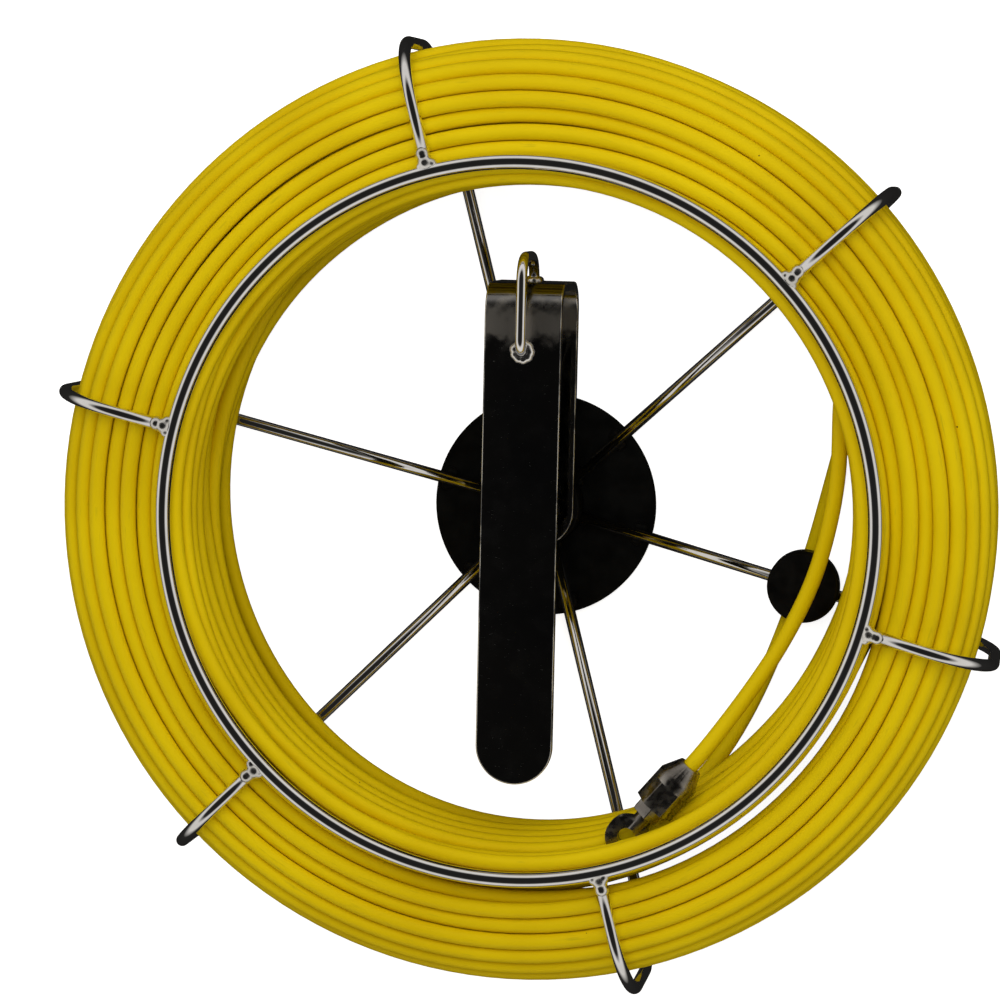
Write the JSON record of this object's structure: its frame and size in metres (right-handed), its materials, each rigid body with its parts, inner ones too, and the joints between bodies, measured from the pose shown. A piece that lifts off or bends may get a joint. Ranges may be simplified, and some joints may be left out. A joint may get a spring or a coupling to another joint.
{
  "type": "push rod reel",
  "caption": "Open wire reel holding a thick coil of yellow push rod, turning on a hub axle in a glossy black strap handle with a wire guide loop.",
  "frame": {"origin": "on the axle, at the rear face of the hub housing, on which the reel lies", "axes": "+Z along the axle from the hub to the front ring, +Y from the axle to the guide loop, +X to the right seen from the front"},
  "size_m": [0.3114, 0.3114, 0.0786],
  "materials": {
    "chrome_ring": "bright chrome plate",
    "chrome_spokes": "bright chrome plate",
    "chrome_loop": "bright chrome plate",
    "weld_bead": "plated weld bead, lumpy",
    "black_hub": "black paint, satin",
    "black_strap": "black nickel plate, glossy and scuffed, rubbed bright at the edges",
    "puck_plastic": "black moulded plastic, satin",
    "dark_screws": "dark plated",
    "bronze_bush": "plain bronze",
    "rod_jacket": "yellow jacket, satin",
    "dark_steel": "machined dark steel",
    "zinc_steel": "zinc plated"
  },
  "bodies": {
    "reel": {"front_ring": "chrome_ring", "spoke_hook_1": "chrome_spokes", "spoke_hook_2": "chrome_spokes", "spoke_hook_3": "chrome_spokes", "spoke_hook_4": "chrome_spokes", "spoke_hook_5": "chrome_spokes", "spoke_hook_6": "chrome_spokes", "ring_welds": "weld_bead", "hub_plate": "black_hub", "hub_housing": "black_hub", "hub_welds": "black_hub", "axle_bush": "bronze_bush", "puck_front": "puck_plastic", "puck_rear": "puck_plastic", "puck_screws": "dark_screws", "cable_coil": "rod_jacket", "cable_tail": "rod_jacket", "cable_loose_turn": "rod_jacket", "tail_ferrule": "dark_steel", "ferrule_nut": "dark_steel", "pull_eye": "dark_steel"},
    "handle": {"handle_strap": "black_strap", "axle_bolt": "zinc_steel", "axle_spacer": "zinc_steel", "washer_front": "zinc_steel", "washer_rear": "zinc_steel", "axle_lock_nut": "zinc_steel", "guide_loop": "chrome_loop", "loop_welds": "weld_bead"}
  },
  "joints": [
    {"name": "handle_spin", "type": "hinge", "parent": "reel", "child": "handle", "pos_m": [0, 0, 0.0135], "axis": [0, 0, 1], "continuous": true}
  ]
}
